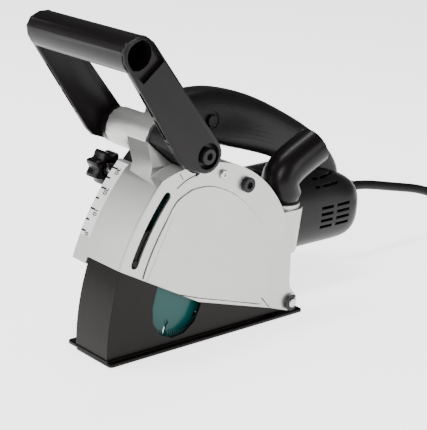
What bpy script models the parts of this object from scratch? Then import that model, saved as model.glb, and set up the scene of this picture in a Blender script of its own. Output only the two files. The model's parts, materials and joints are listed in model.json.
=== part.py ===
"""Wall chaser: a twin-blade groove cutter with a plunging base, built as separate pieces.

All sizes are in millimetres, and MM turns them into metres. -X is forward, -Y is the side of
the blade cover, +Z is up. The origin is on the underside of the sole, straight below the pin
that the base swings on, in the middle of the groove that the blades cut.
"""

from math import atan2, cos, degrees, hypot, pi, radians, sin, tau

import bmesh
import bpy
from mathutils import Matrix, Vector

MM = 0.001
GAP = 0.3  # between neighbours that touch on the real tool
SHARP = radians(34)

# Main places in the XZ plane
PIN = (0.0, 11.5)
SPINDLE = (-114.6, 65.0)
HANDLE_AXIS = (-112.0, 157.5)

# Base
SOLE_THICK = 3.0
SOLE_FRONT, SOLE_REAR = -192.6, 14.0
SOLE_NEAR, SOLE_FLANGE = -25.0, 34.0
FLANGE_STEP = (2.2, 20.5)  # how far back the wide side's front edge is, and from which Y
SLOT_X, SLOT_HALF = (-184.0, -60.0), 15.5
GUARD_R = 192.2
GUARD_WALL = 1.8
GUARD_HALF = 19.9
GUARD_TOP_ANGLE = 25.0
GUARD_CREST = ((188.0, 26.8), (183.0, 29.6), (176.0, 32.0), (168.0, 34.2), (160.0, 36.4))
GUARD_INNER = ((-100.0, 80.0), (-26.0, 46.0), (-9.0, 23.0))
GUIDE_R, GUIDE_ANGLE = 2.9, 21.7
WINDOW_R, WINDOW_HALF = 126.5, 25.0
WINDOW_LOW_ANGLE = 9.8
PIN_R = 4.0
LUG_R = 7.0
SPRING_R, SPRING_WIRE, SPRING_TURNS = 6.3, 0.9, 4

# Blade case
CASE_R = 195.3
CASE_WALL = 2.3
CASE_LOW_ANGLE = 19.2
CASE_TOP_CENTRE, CASE_TOP_R = (-106.0, 45.0), 103.5
CASE_NEAR, COVER_BACK = -22.0, -20.2
CASE_FAR_IN, CASE_FAR = 20.2, 23.0
LOBE_R = 8.2
CASE_KINK = (-103.7, 34.0)
CASE_HEEL = (-22.5, 10.6)
PANEL_R, PANEL_ANGLES, PANEL_PROUD = 171.0, (18.4, 34.0), 0.9
PANEL_TOP = ((-140.8, 108.9), (-132.7, 121.0), (-122.0, 127.0), (-113.5, 129.3), (-95.2, 128.3),
             (-67.7, 115.5), (-41.9, 90.1), (-29.4, 64.7), (-26.0, 48.0), (-25.0, 30.0))
PANEL_CORNER = ((-24.6, 12.4), (-34.7, 23.3), (-36.2, 17.8), (-104.4, 38.0), (-129.8, 47.9))
ARC_SLOT_R, ARC_SLOT_HALF = 183.0, 3.5
ARC_SLOT_FROM, ARC_SLOT_TO = 21.4, 39.3
STRIP_R, STRIP_THICK, STRIP_FAR = 193.2, 2.6, 38.0
STRIP_FROM, STRIP_TO = 17.4, 43.0
STOP_R, STOP_ANGLE, STOP_HALF = 186.0, 40.2, 3.2
DUCT_Z, DUCT_WALL = (54.0, 96.0), 2.2
DUCT_REAR_R, DUCT_COLLAR_R = 17.5, 15.8
DUCT_FRONT, DUCT_COLLAR_TALL, DUCT_LEAN = -22.0, 4.0, 5.0
COVER_BOLT, COVER_SCREW = (-59.8, 124.7), (-86.0, 137.1)
STRAP_SECTIONS = (
    (137.2, (-148.6, -127.3), (-9.0, 16.6)), (146.1, (-144.2, -122.7), (-5.5, 18.5)),
    (152.4, (-136.8, -116.4), (6.0, 32.0)), (160.3, (-126.4, -108.2), (25.0, 50.0)),
)
LABEL_Y, LABEL_ANGLES, LABEL_THICK = (23.6, 37.2), (23.2, 42.2), 0.8

# Blades and spindle
BLADE_R, BLADE_THICK, BLADE_BORE = 62.5, 1.8, 11.1
BLADE_SPREAD = 12.7
BLADE_SEGMENTS = 10
GULLET_HOLE_R, GULLET_DEEP, GULLET_MOUTH = 2.4, 47.5, 1.6
SPINDLE_R = 7.0
GEAR_R, GEAR_TEETH = 25.0, 31
PINION_R, PINION_TEETH = 7.4, 9

# Motor
MOTOR_Y = 60.0
MOTOR_R, MOTOR_WALL = 36.0, 2.8
MOTOR_FRONT, MOTOR_REAR = -61.0, 70.0
BRUSH_X, BRUSH_CAP_R, BRUSH_CAP_OUT = 56.0, 6.3, 35.8

# Rear handle and rear cover
GRIP_HALF, SHELL_WALL = 17.0, 2.8
# Pairs of points in XZ, outside and inside of the bend, from the front foot to the tail
GRIP_SECTIONS = (
    ((-119.0, 100.4), (-66.0, 100.4)), ((-121.0, 112.0), (-64.5, 109.0)),
    ((-119.0, 125.0), (-62.5, 118.0)), ((-109.0, 137.0), (-60.0, 126.0)),
    ((-94.6, 148.0), (-57.0, 132.5)), ((-93.8, 162.0), (-51.5, 137.0)),
    ((-91.0, 175.5), (-45.0, 139.4)), ((-76.0, 182.4), (-40.0, 139.0)),
    ((-56.0, 185.3), (-34.0, 137.4)), ((-34.0, 185.0), (-25.0, 134.8)),
    ((-9.0, 180.0), (-10.0, 130.4)), ((18.0, 171.0), (8.0, 125.4)),
    ((52.0, 155.0), (32.0, 118.0)), ((85.0, 136.5), (55.0, 109.0)),
    ((110.0, 116.0), (73.0, 98.0)), ((124.0, 98.0), (86.0, 86.0)),
    ((126.0, 84.0), (96.0, 76.0)),
)
# Distance back, half width, lowest and highest point of each section of the rear cover
REAR_SECTIONS = (
    (30.0, 38.1, 26.9, 103.1), (69.0, 38.3, 26.9, 103.8), (86.0, 38.6, 27.0, 104.0),
    (106.0, 38.2, 27.2, 98.0), (121.0, 37.2, 28.2, 92.0), (130.0, 34.0, 31.5, 88.0),
    (137.0, 28.0, 38.0, 84.0), (140.0, 20.0, 46.0, 80.0),
)
# Distance back to either end, lowest slot, pitch and height of each bank of cooling slots
VENT_BANKS = (
    ((78.4, 93.9), 49.6, 6.05, 2.8, 4), ((98.6, 116.0), 49.6, 6.05, 2.8, 4),
    ((72.0, 78.0), 87.5, 6.6, 2.4, 2), ((81.0, 104.0), 87.5, 6.6, 2.4, 2),
)
TRIGGER_MOUTH = ((-83.0, 152.2), (-83.0, 141.0), (-68.0, 126.0), (-55.0, 115.0), (-34.0, 124.0),
                 (-35.4, 152.2))
TRIGGER = ((-80.0, 151.4), (-80.0, 143.0), (-66.0, 129.0), (-56.0, 122.0), (-49.0, 122.6),
           (-42.0, 130.0), (-38.6, 138.0), (-38.0, 146.6))
TRIGGER_PIVOT, TRIGGER_HALF = (-77.0, 148.0), 6.0
BUTTON_AT, BUTTON_R = (-42.0, 160.0), 5.2
LOCK_AT, LOCK_R = (-132.0, 73.0), 3.6

# Front handle
BOSS_R, BOSS_Y = 15.8, (21.0, 75.0)
BAND_R, BAND_FAR = 17.4, 46.0
TOOTH_COUNT, TOOTH_DEEP = 15, 1.8
COLLAR_R = 15.0
ARM_NEAR, ARM_FAR = (-33.0, -26.0), (83.6, 89.2)
ARM_FOOT_R, BAR_WALL, BOLT_END = 14.0, 3.0, 95.0
ARM_HEAD = ((-195.0, 235.5), (-196.3, 243.0), (-192.5, 249.8), (-185.0, 253.4), (-176.5, 253.8),
            (-169.0, 249.0))
ARM_POCKET = ((-187.6, 228.6), (-192.0, 237.0), (-191.6, 244.0), (-187.0, 249.4), (-180.4, 251.8),
              (-174.6, 251.4), (-168.6, 246.6), (-159.8, 234.4), (-177.9, 219.4))
ARM_SLOTS = (((-176.4, 214.0), (-161.8, 196.6)), ((-159.8, 193.4), (-147.4, 178.4)),
             ((-145.6, 175.6), (-132.2, 160.0)))
ARM_SLOT_HALF, ARM_SLOT_DEEP = 1.4, 4.5
BAR = ((-190.0, 228.0), (-195.4, 235.5), (-196.0, 243.0), (-192.0, 249.6), (-184.6, 253.2),
       (-176.0, 253.4), (-168.5, 248.6), (-165.5, 240.0), (-169.0, 231.0), (-179.0, 225.4))

# Depth stop
KNOB_Y, KNOB_R, KNOB_LOBE, KNOB_LOBES = (49.2, 64.0), 12.4, 2.0, 7
KNOB_HOLLOW_R, KNOB_FACE = 7.7, 57.0
STUD_R, SLEEVE_R = 2.5, 5.2

# Dust nozzle
NOZZLE_AT, NOZZLE_R, NOZZLE_WALL = (1.0, -2.0), 16.5, 2.2
NOZZLE_FOOT_R = 13.8
# The elbow's middle line in XZ, from its foot to its outlet
NOZZLE_LINE = ((1.0, 96.3), (1.0, 102.0), (-1.2, 107.0), (-2.4, 112.0), (-0.6, 117.6), (4.4, 123.2),
               (11.7, 127.9), (35.6, 139.5))

# Power cord
CORD_R = 4.5
CORD_EXIT = (160.0, MOTOR_Y, 68.0)
CORD_DROP = ((169.0, 67.4), (181.0, 65.8), (196.0, 63.0), (214.0, 59.2), (232.0, 55.4), (250.0, 51.6),
             (267.0, 47.0), (283.0, 41.4), (298.0, 34.4), (314.0, 25.8), (330.0, 17.4), (346.0, 10.4),
             (361.0, 6.0), (373.0, 4.7))
CORD_LOW = 4.6
PLUG_AWAY, PLUG_PIN_APART = 18.0, 19.0
PLUG_SECTIONS = ((-30, 5.5, 5.5), (-10, 7, 7), (-4, 14, 10.5), (10, 17, 11.5), (14, 17, 11.5))
COIL_CENTRE, COIL_MID_R = (384.0, -8.3), 50.0
COIL_COLUMNS, COIL_LAYERS = 3, 2

MATERIALS = {
    "cast_silver": ((0.60, 0.60, 0.57), 0.38, 0.85),
    "black_paint": ((0.022, 0.019, 0.018), 0.42, 0.1),
    "steel": ((0.62, 0.62, 0.62), 0.28, 1.0),
    "dark_steel": ((0.03, 0.03, 0.03), 0.35, 0.7),
    "brass": ((0.72, 0.50, 0.22), 0.35, 1.0),
    "copper": ((0.72, 0.33, 0.18), 0.35, 1.0),
    "carbon": ((0.03, 0.03, 0.03), 0.8, 0.0),
    "housing_grey": ((0.045, 0.041, 0.043), 0.5, 0.0),
    "black_plastic": ((0.018, 0.015, 0.016), 0.4, 0.0),
    "rubber": ((0.02, 0.02, 0.02), 0.75, 0.0),
    "blade_teal": ((0.0, 0.16, 0.15), 0.25, 0.2),
    "scale_white": ((0.85, 0.85, 0.83), 0.5, 0.0),
}


# ---------------------------------------------------------------- geometry helpers


def polar(centre, radius, angle):
    """A point in the XZ plane, at an angle in degrees above the forward direction."""
    return centre[0] - radius * cos(radians(angle)), centre[1] + radius * sin(radians(angle))


def arc(centre, radius, start, end, steps):
    """Points on an arc, from one angle to another, both above the forward direction."""
    return [polar(centre, radius, start + (end - start) * i / steps) for i in range(steps + 1)]


def forward_angle(centre, point):
    """The angle above the forward direction at which centre sees point, in degrees."""
    return degrees(atan2(point[1] - centre[1], centre[0] - point[0]))


def circles_meet(a, ra, b, rb):
    """The upper of the two points where two circles cross."""
    dx, dz = b[0] - a[0], b[1] - a[1]
    gap = hypot(dx, dz)
    along = (ra * ra - rb * rb + gap * gap) / (2 * gap)
    side = (ra * ra - along * along) ** 0.5
    points = [
        (a[0] + (along * dx + s * side * dz) / gap, a[1] + (along * dz - s * side * dx) / gap)
        for s in (-1, 1)
    ]
    return max(points, key=lambda p: p[1])


def arc_slot(radius, half, start, end, steps=12):
    """A slot with round ends that follows an arc about the base pin."""
    shape = arc(PIN, radius + half, start, end, steps)
    cap = polar(PIN, radius, end)
    shape += [polar(cap, half, end + 180 * i / 6) for i in range(1, 6)]
    shape += arc(PIN, radius - half, end, start, steps)
    cap = polar(PIN, radius, start)
    shape += [polar(cap, half, start + 180 + 180 * i / 6) for i in range(1, 6)]
    return shape


def smooth_closed(points, steps=4):
    """A smooth closed line through the points (a Catmull-Rom curve)."""
    count = len(points)
    line = []
    for i in range(count):
        p0, p1, p2, p3 = (Vector(points[(i + k) % count]) for k in (-1, 0, 1, 2))
        for s in range(steps):
            t = s / steps
            line.append(spline_point(p0, p1, p2, p3, t))
    return line


def smooth_open(points, steps):
    """A smooth line through the points, ends included."""
    last = len(points) - 1
    line = []
    for i in range(last):
        picks = (max(i - 1, 0), i, i + 1, min(i + 2, last))
        p0, p1, p2, p3 = (Vector(points[k]) for k in picks)
        line += [spline_point(p0, p1, p2, p3, s / steps) for s in range(steps)]
    return line + [Vector(points[last])]


def spline_point(p0, p1, p2, p3, t):
    return 0.5 * (
        2 * p1
        + (p2 - p0) * t
        + (2 * p0 - 5 * p1 + 4 * p2 - p3) * t**2
        + (3 * p1 - p0 - 3 * p2 + p3) * t**3
    )


def prism(outline, low, high):
    """An outline in XZ, extruded along Y."""
    count = len(outline)
    points = [(x, y, z) for y in (low, high) for x, z in outline]
    faces = [tuple(range(count)), tuple(range(2 * count - 1, count - 1, -1))]
    faces += [(i, (i + 1) % count, (i + 1) % count + count, i + count) for i in range(count)]
    return points, faces


def plate(outline, low, high):
    """An outline in XY, extruded along Z."""
    points, faces = prism(outline, low, high)
    return [(x, z, y) for x, y, z in points], faces


def box(x, y, z):
    return prism([(x[0], z[0]), (x[1], z[0]), (x[1], z[1]), (x[0], z[1])], y[0], y[1])


def loft(rings):
    """Skins rings of equal length, and closes both ends."""
    size = len(rings[0])
    points = [p for ring in rings for p in ring]
    faces = [tuple(range(size)), tuple(range(len(points) - 1, len(points) - size - 1, -1))]
    for r in range(len(rings) - 1):
        for i in range(size):
            a, b = r * size + i, r * size + (i + 1) % size
            faces.append((a, b, b + size, a + size))
    return points, faces


def turned(profile, axis, centre, steps=20):
    """A closed profile of (radius, distance along the axis), turned about an axis."""
    points, rows = [], []
    for radius, along in profile:
        if radius == 0:
            rows.append([len(points)] * steps)
            points.append((0, 0, along))
        else:
            rows.append(list(range(len(points), len(points) + steps)))
            turn = (tau * i / steps for i in range(steps))
            points += [(radius * cos(a), radius * sin(a), along) for a in turn]
    faces = []
    for j, row in enumerate(rows):
        after = rows[(j + 1) % len(rows)]
        for i in range(steps):
            k = (i + 1) % steps
            face = list(dict.fromkeys((row[i], row[k], after[k], after[i])))
            if len(face) > 2:
                faces.append(tuple(face))
    return [place(p, axis, centre) for p in points], faces


def place(point, axis, centre):
    """Turns a point made about +Z so that its axis is X, Y or Z, and moves it to centre."""
    a, b, along = point
    spot = {"X": (along, a, b), "Y": (b, along, a), "Z": (a, b, along)}[axis]
    return tuple(s + c for s, c in zip(spot, centre))


def ring(outer, inner, low, high, axis, centre, steps=20):
    profile = [(outer, low), (outer, high), (inner, high), (inner, low)]
    return turned(profile, axis, centre, steps)


def rod(radius, low, high, axis, centre, steps=20, bevel=0.6):
    profile = [(0, low), (radius - bevel, low), (radius, low + bevel)]
    profile += [(radius, high - bevel), (radius - bevel, high), (0, high)]
    return turned(profile, axis, centre, steps)


def rounded_prism(outline, low, high, soft, steps=4):
    """A prism along Y whose two rims are rounded, its side pulled in by up to soft."""
    inward = inward_normals(outline)
    turns = [pi / 2 * i / steps for i in range(steps + 1)]
    levels = [(low + soft * (1 - cos(t)), soft * (1 - sin(t))) for t in turns]
    levels += [(high - soft * (1 - cos(t)), soft * (1 - sin(t))) for t in reversed(turns)]
    rings = []
    for y, pull in levels:
        rings.append([(x + n.x * pull, y, z + n.y * pull) for (x, z), n in zip(outline, inward)])
    return loft(rings)


def inward_normals(outline):
    count = len(outline)
    area = sum(
        outline[i][0] * outline[(i + 1) % count][1] - outline[(i + 1) % count][0] * outline[i][1]
        for i in range(count)
    )
    turn = 1 if area > 0 else -1
    normals = []
    for i in range(count):
        before, after = Vector(outline[i - 1]), Vector(outline[(i + 1) % count])
        along = (after - before).normalized() * turn
        normals.append(Vector((-along.y, along.x)))
    return normals


def tube_along(path, radii, steps=20):
    """Round sections along a line of points in a plane of constant Y, each square to the line."""
    side = Vector((0, 1, 0))
    rings = []
    for i, (point, radius) in enumerate(zip(path, radii)):
        along = (path[min(i + 1, len(path) - 1)] - path[max(i - 1, 0)]).normalized()
        up = along.cross(side).normalized()
        row = []
        for k in range(steps):
            a = tau * k / steps
            row.append(tuple(point + side * cos(a) * radius + up * sin(a) * radius))
        rings.append(row)
    return loft(rings)


# ---------------------------------------------------------------- object helpers


def clear_scene():
    for thing in list(bpy.data.objects):
        bpy.data.objects.remove(thing)


def make_material(name):
    colour, roughness, metallic = MATERIALS[name]
    material = bpy.data.materials.new(name)
    material.use_nodes = True
    shader = material.node_tree.nodes["Principled BSDF"]
    shader.inputs["Base Color"].default_value = (*colour, 1)
    shader.inputs["Roughness"].default_value = roughness
    shader.inputs["Metallic"].default_value = metallic
    return material


def mesh_object(name, geometry):
    points, faces = geometry
    mesh = bpy.data.meshes.new(name)
    mesh.from_pydata([[c * MM for c in p] for p in points], [], faces)
    shape = bmesh.new()
    shape.from_mesh(mesh)
    bmesh.ops.recalc_face_normals(shape, faces=shape.faces)
    shape.to_mesh(mesh)
    shape.free()
    thing = bpy.data.objects.new(name, mesh)
    bpy.context.scene.collection.objects.link(thing)
    return thing


def body(name, x, y, z, parent=None):
    """An empty on a joint's axis, which the pieces of one moving body hang from."""
    empty = bpy.data.objects.new(name, None)
    bpy.context.scene.collection.objects.link(empty)
    empty.location = (x * MM, y * MM, z * MM)
    if parent:
        empty.parent = parent
        bpy.context.view_layer.update()
        empty.matrix_parent_inverse = parent.matrix_world.inverted()
    bpy.context.view_layer.update()
    return empty


def piece(name, geometry, material, parent):
    """One named piece, made in place, with its own copy of the material."""
    thing = mesh_object(name, geometry)
    thing.data.materials.append(make_material(material))
    thing.data.shade_smooth()
    thing.data.set_sharp_from_angle(angle=SHARP)
    thing.parent = parent
    thing.matrix_parent_inverse = parent.matrix_world.inverted()
    return thing


def combine(thing, geometry, operation):
    """Adds or cuts a shape with a Boolean, from a helper that isn't rendered."""
    helper = mesh_object(f"{thing.name}_helper", geometry)
    helper.hide_render = True
    helper.display_type = "WIRE"
    change = thing.modifiers.new(operation.lower(), "BOOLEAN")
    change.operation = operation
    change.object = helper
    return thing


def cut(thing, *shapes):
    for geometry in shapes:
        combine(thing, geometry, "DIFFERENCE")
    return thing


def add(thing, *shapes):
    for geometry in shapes:
        combine(thing, geometry, "UNION")
    return thing


def many(*shapes):
    """Several separate shapes as one helper."""
    points, faces = [], []
    for more_points, more_faces in shapes:
        start = len(points)
        points += more_points
        faces += [tuple(i + start for i in face) for face in more_faces]
    return points, faces


# ---------------------------------------------------------------- base


def sole_outline():
    """A long plate with clipped corners, its front edge set back on the wide side."""
    clip = 2.0
    back, step_y = SOLE_FRONT + FLANGE_STEP[0], FLANGE_STEP[1]
    return [
        (SOLE_FRONT, SOLE_NEAR + clip),
        (SOLE_FRONT + clip, SOLE_NEAR),
        (SOLE_REAR - clip, SOLE_NEAR),
        (SOLE_REAR, SOLE_NEAR + clip),
        (SOLE_REAR, SOLE_FLANGE - clip),
        (SOLE_REAR - clip, SOLE_FLANGE),
        (back + clip, SOLE_FLANGE),
        (back, SOLE_FLANGE - clip),
        (back, step_y),
        (SOLE_FRONT, step_y - clip),
    ]


def guard_wall(low, high):
    """One side wall of the inner guard, with its lug for the base pin."""
    floor = SOLE_THICK + GAP
    low_angle = forward_angle(PIN, (-GUARD_R, floor))
    outline = arc(PIN, GUARD_R, low_angle, GUARD_TOP_ANGLE, 10)
    outline += [polar(PIN, radius, angle) for radius, angle in GUARD_CREST]
    outline += GUARD_INNER
    outline += [polar(PIN, LUG_R, a) for a in (90, 120, 150, 180, 210, 240, 270)]
    outline += [(-38.0, floor + 1.2), (-44.0, floor)]
    return prism(outline, low, high)


def build_base(root):
    sole = piece("base_sole", plate(sole_outline(), 0, SOLE_THICK), "black_paint", root)
    cut(sole, box(SLOT_X, (-SLOT_HALF, SLOT_HALF), (-1, SOLE_THICK + 1)))
    edge = sole.modifiers.new("edge", "BEVEL")
    edge.width, edge.segments, edge.limit_method = 0.8 * MM, 2, "ANGLE"

    near = guard_wall(-GUARD_HALF, -GUARD_HALF + GUARD_WALL)
    guard = piece("base_guard", near, "black_paint", root)
    floor = SOLE_THICK + GAP
    low_angle = forward_angle(PIN, (-GUARD_R, floor))
    front = arc(PIN, GUARD_R, low_angle, GUARD_TOP_ANGLE, 10)
    front += arc(PIN, GUARD_R - GUARD_WALL, GUARD_TOP_ANGLE, low_angle, 10)
    add(guard, guard_wall(GUARD_HALF - GUARD_WALL, GUARD_HALF))
    add(guard, prism(front, -GUARD_HALF + 1, GUARD_HALF - 1))
    add(guard, box((SOLE_FRONT - 0.4, -44), (-21.6, -GUARD_HALF + 1), (floor, 4.4)))
    add(guard, box((SOLE_FRONT - 0.4, -188), (-21.5, GUARD_HALF), (floor, 4.4)))
    guide = polar(PIN, ARC_SLOT_R, GUIDE_ANGLE)
    add(guard, rod(GUIDE_R, CASE_NEAR + 0.4, -GUARD_HALF + 1, "Y", (guide[0], 0, guide[1]), 16, 0.5))
    window = arc_slot(WINDOW_R, WINDOW_HALF, WINDOW_LOW_ANGLE, 70)
    cut(guard, prism(window, -30, 30))
    cut(guard, ring_hole(PIN_R + GAP, -30, 30))

    profile = [(0, -26.5), (PIN_R - 0.6, -26.5), (PIN_R, -25.9), (PIN_R, -25.2), (PIN_R - 0.9, -25.2)]
    profile += [(PIN_R - 0.9, -24.2), (PIN_R, -24.2), (PIN_R, 25.6), (6.5, 25.6)]
    profile += [(6.5, 28.0), (5.6, 28.6), (0, 28.6)]
    piece("base_pivot_pin", turned(profile, "Y", (PIN[0], 0, PIN[1])), "steel", root)
    clip = [(7.2 * cos(a), 7.2 * sin(a)) for a in (radians(50 + 260 * i / 16) for i in range(17))]
    clip += [(3.4 * cos(a), 3.4 * sin(a)) for a in (radians(310 - 260 * i / 12) for i in range(13))]
    clip = [(PIN[0] + x, PIN[1] + z) for x, z in clip]
    piece("pivot_clip", prism(clip, -25.1, -24.3), "dark_steel", root)
    piece("pivot_spring", torsion_spring(), "dark_steel", root)


def ring_hole(radius, low, high, centre=PIN, steps=20):
    return rod(radius, low, high, "Y", (centre[0], 0, centre[1]), steps, 0.01)


def torsion_spring():
    """The spring round the base pin that pushes the base down."""
    per_turn, pitch, start_y, sides = 10, 3.0, -8.0, 5
    rings = []
    for i in range(SPRING_TURNS * per_turn + 1):
        a = tau * i / per_turn
        out = Vector((cos(a), 0, sin(a)))
        middle = Vector((PIN[0], start_y + pitch * i / per_turn, PIN[1])) + out * SPRING_R
        row = []
        for k in range(sides):
            t = tau * k / sides
            row.append(tuple(middle + (out * cos(t) + Vector((0, sin(t), 0))) * SPRING_WIRE))
        rings.append(row)
    return loft(rings)


# ---------------------------------------------------------------- blade case


def case_outline():
    """The near cover's outline: front arc, top arc, lobe round the pin, bottom edge."""
    crest = circles_meet(PIN, CASE_R, CASE_TOP_CENTRE, CASE_TOP_R)
    outline = arc(PIN, CASE_R, CASE_LOW_ANGLE, forward_angle(PIN, crest), 12)
    outline += arc(CASE_TOP_CENTRE, CASE_TOP_R, forward_angle(CASE_TOP_CENTRE, crest), 180, 28)[1:]
    outline += [(-2.0, 30.0), (-0.5, 24.5), (3.0, 20.0)]
    outline += [polar(PIN, LOBE_R, a) for a in (135, 165, 195, 225, 255, 285)]
    return outline + [CASE_HEEL, CASE_KINK]


def case_cavity():
    """The space inside the case, open below."""
    r, top = CASE_R - CASE_WALL, CASE_TOP_R - CASE_WALL
    crest = circles_meet(PIN, r, CASE_TOP_CENTRE, top)
    outline = arc(PIN, r, 0, forward_angle(PIN, crest), 14)
    outline += arc(CASE_TOP_CENTRE, top, forward_angle(CASE_TOP_CENTRE, crest), 180, 24)[1:]
    rear = CASE_TOP_CENTRE[0] + top
    return outline + [(rear, 29.0), (16.0, 29.0), (16.0, -20.0), (-210.0, -20.0)]


def strip_ring(outer, inner, start, end, low, high):
    shape = arc(PIN, outer, start, end, 12) + arc(PIN, inner, end, start, 12)
    return prism(shape, low, high)


def toothed_tube(radius, low, high, deep_low, deep_high):
    """A round bar along the handle's axis, with shallow clutch teeth round either end."""
    per_tooth = 4
    steps = TOOTH_COUNT * per_tooth
    rings = []
    for y, deep in ((low, deep_low), (high, -deep_high)):
        row = []
        for k in range(steps):
            a = tau * k / steps
            wave = (1 - cos(tau * k / per_tooth)) / 2
            x, z = HANDLE_AXIS[0] + radius * cos(a), HANDLE_AXIS[1] + radius * sin(a)
            row.append((x, y + deep * wave, z))
        rings.append(row)
    return loft(rings)


def duct(radius, low, high):
    """The dust duct behind the case, round at its rear and drawn in towards its foot."""
    x, y = NOZZLE_AT
    foot, brim = DUCT_Z
    rings = []
    for z in (low, high):
        back = x + 2 - DUCT_LEAN * (brim - z) / (brim - foot)
        turn = (radians(-90 + 180 * i / 10) for i in range(11))
        rear = [(back + radius * cos(a), y + radius * sin(a), z) for a in turn]
        rings.append([(DUCT_FRONT, y - radius, z)] + rear + [(DUCT_FRONT, y + radius, z)])
    return loft(rings)


def handle_strap():
    """The curved web that leans from the case's top corner out to the handle boss."""
    rings = []
    for z, (front, rear), (near, far) in STRAP_SECTIONS:
        rings.append([(front, near, z), (rear, near, z), (rear, far, z), (front, far, z)])
    return loft(rings)


def build_case(tool):
    case = piece("case_body", prism(case_outline(), COVER_BACK + GAP, CASE_FAR), "cast_silver", tool)
    foot, brim = DUCT_Z
    nozzle_hole = (NOZZLE_AT[0], NOZZLE_AT[1], 0)
    add(case, duct(DUCT_REAR_R, foot, brim - DUCT_COLLAR_TALL))
    add(case, rod(DUCT_COLLAR_R, brim - DUCT_COLLAR_TALL - 1, brim, "Z", nozzle_hole, 32, 0.5))
    add(case, strip_ring(STRIP_R, STRIP_R - STRIP_THICK, STRIP_FROM, STRIP_TO, 21, STRIP_FAR))
    add(case, strip_ring(STRIP_R, 174.5, STRIP_FROM, STRIP_TO, STRIP_FAR - 2.6, STRIP_FAR))
    add(case, handle_strap())
    case.modifiers[-1].solver = "MANIFOLD"
    add(case, toothed_tube(BOSS_R, BOSS_Y[0] + 3, BOSS_Y[1], 0, TOOTH_DEEP))
    add(case, toothed_tube(BAND_R, BOSS_Y[0], BAND_FAR, TOOTH_DEEP, 0))
    cut(case, prism(case_cavity(), -30, CASE_FAR_IN))
    inside_top = brim - DUCT_COLLAR_TALL - DUCT_WALL
    cut(case, duct(DUCT_REAR_R - DUCT_WALL, foot + DUCT_WALL, inside_top))
    cut(case, rod(NOZZLE_FOOT_R - NOZZLE_WALL, 80, 120, "Z", nozzle_hole, 24, 0.01))
    scoop = ring_hole(COLLAR_R + 1.0, -40, BOSS_Y[0], HANDLE_AXIS, 28)
    cut(case, scoop)
    cut(case, ring_hole(5.0, -60, 100, HANDLE_AXIS))
    cut(case, ring_hole(PIN_R + GAP, 0, 40))
    cut(case, ring_hole(24.5, 10, 40, SPINDLE, 32))
    travel = arc_slot(STOP_R, STOP_HALF, STOP_ANGLE - 15.6, STOP_ANGLE + 0.6)
    cut(case, prism(travel, STRIP_FAR - 4, STRIP_FAR + 2))

    cover = piece("case_cover", prism(case_outline(), CASE_NEAR, COVER_BACK), "cast_silver", tool)
    slot = arc_slot(ARC_SLOT_R, ARC_SLOT_HALF, ARC_SLOT_FROM, ARC_SLOT_TO)
    cut(cover, prism(slot, -30, 0), scoop, ring_hole(PIN_R + GAP, -40, 0))
    cut(cover, ring_hole(3.2, -40, 0, COVER_BOLT), ring_hole(2.2, -40, 0, COVER_SCREW))
    add(cover, prism(panel_outline(), CASE_NEAR - PANEL_PROUD, CASE_NEAR + 0.5))
    socket_screw("cover_bolt", COVER_BOLT, 6.3, 2.9, CASE_NEAR, 14, tool, "dark_steel")
    socket_screw("cover_screw", COVER_SCREW, 3.6, 1.9, CASE_NEAR, 10, tool, "steel")

    low, high = LABEL_ANGLES
    label = arc(PIN, STRIP_R + GAP + LABEL_THICK, low, high, 10) + arc(PIN, STRIP_R + GAP, high, low, 10)
    piece("scale_plate", prism(label, *LABEL_Y), "scale_white", tool)


def panel_outline():
    """The raised D-shaped panel in the middle of the cover."""
    outline = arc(PIN, PANEL_R, *PANEL_ANGLES, 6)
    outline += [tuple(p) for p in smooth_open(PANEL_TOP, 3)]
    return outline + list(PANEL_CORNER)


def socket_screw(name, at, head_r, shank_r, face, length, parent, material):
    """A cap screw driven along +Y into a face, with a hexagon socket in its head."""
    head = head_r * 0.62
    back = face - GAP
    profile = [(0, back - head), (head_r - 0.5, back - head), (head_r, back - head + 0.5)]
    profile += [(head_r, back), (shank_r - GAP, back), (shank_r - GAP, face + length)]
    profile += [(0, face + length)]
    screw = piece(name, turned(profile, "Y", (at[0], 0, at[1])), material, parent)
    cut(screw, rod(head_r * 0.5, back - head - 1, back - 1.2, "Y", (at[0], 0, at[1]), 6, 0.01))
    return screw


# ---------------------------------------------------------------- depth stop


def star_outline(at):
    """The knob's outline: a circle with deep round scallops."""
    per_lobe = 6
    steps = KNOB_LOBES * per_lobe
    outline = []
    for i in range(steps):
        a = tau * i / steps
        radius = KNOB_R + KNOB_LOBE * cos(KNOB_LOBES * a)
        outline.append((at[0] + radius * cos(a), at[1] + radius * sin(a)))
    return outline


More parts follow.
